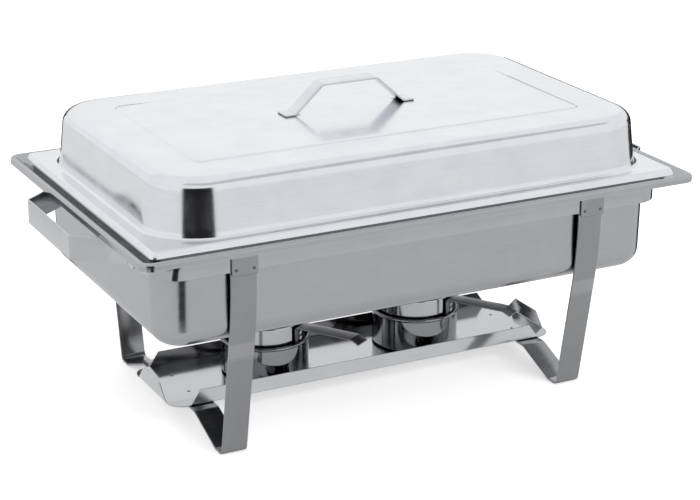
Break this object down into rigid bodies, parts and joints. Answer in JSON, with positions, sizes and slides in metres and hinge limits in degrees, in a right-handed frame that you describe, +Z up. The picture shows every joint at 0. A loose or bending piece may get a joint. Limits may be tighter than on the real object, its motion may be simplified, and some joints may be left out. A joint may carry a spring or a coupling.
{
  "type": "chafing dish food warmer",
  "caption": "Full-size rectangular chafing dish: domed lift-off lid, food pan in a water pan, strap frame with fuel tray, and round fuel pots with strap handles standing in open cups",
  "frame": {"origin": "On the ground plane, under the middle of the frame. The feet stand on Z = 0.", "axes": "X runs along the dish's length, towards the right-hand side handle. Y runs across it, and the front is -Y. Z is up."},
  "size_m": [0.609, 0.363, 0.3029],
  "materials": {
    "lid_steel": "mirror-polished pressed stainless steel",
    "pan_steel": "bright-polished drawn stainless steel",
    "band_steel": "bright-polished stainless strip",
    "strap_steel": "satin stainless flat strap, grain along its length",
    "handle_steel": "satin stainless flat strap, rounded edges",
    "tray_steel": "bright rolled stainless sheet",
    "cup_steel": "polished spun stainless steel",
    "pot_steel": "spun stainless steel with fine rings",
    "pot_handle_steel": "darker satin stainless strap",
    "rivet_steel": "plain steel rivets",
    "weld_steel": "heat-tinted spot welds"
  },
  "bodies": {
    "frame": {"frame_band": "band_steel", "left_leg_strap": "strap_steel", "right_leg_strap": "strap_steel", "left_side_handle": "handle_steel", "right_side_handle": "handle_steel", "fuel_tray": "tray_steel", "tab_weld_spots": "weld_steel", "tray_weld_spots": "weld_steel"},
    "water_pan": {"water_pan": "pan_steel"},
    "food_pan": {"food_pan": "pan_steel"},
    "lid": {"lid_shell": "lid_steel", "lid_handle": "handle_steel"},
    "left_cup": {"left_burner_cup": "cup_steel"},
    "left_pot": {"left_fuel_pot": "pot_steel", "left_pot_handle": "pot_handle_steel", "left_pot_rivets": "rivet_steel"},
    "right_cup": {"right_burner_cup": "cup_steel"},
    "right_pot": {"right_fuel_pot": "pot_steel", "right_pot_handle": "pot_handle_steel", "right_pot_rivets": "rivet_steel"}
  },
  "joints": [
    {"name": "water_pan_lift", "type": "slide", "parent": "frame", "child": "water_pan", "axis": [0, 0, 1], "range_m": [0, 0.12]},
    {"name": "food_pan_lift", "type": "slide", "parent": "water_pan", "child": "food_pan", "axis": [0, 0, 1], "range_m": [0, 0.08]},
    {"name": "lid_lift", "type": "slide", "parent": "food_pan", "child": "lid", "axis": [0, 0, 1], "range_m": [0, 0.1]},
    {"name": "left_burner_turn", "type": "hinge", "parent": "frame", "child": "left_cup", "pos_m": [-0.09, 0, 0.021], "axis": [0, 0, 1], "continuous": true},
    {"name": "left_pot_lift", "type": "slide", "parent": "left_cup", "child": "left_pot", "axis": [0, 0, 1], "range_m": [0, 0.038]},
    {"name": "right_burner_turn", "type": "hinge", "parent": "frame", "child": "right_cup", "pos_m": [0.077, 0, 0.021], "axis": [0, 0, 1], "continuous": true},
    {"name": "right_pot_lift", "type": "slide", "parent": "right_cup", "child": "right_pot", "axis": [0, 0, 1], "range_m": [0, 0.038]}
  ]
}
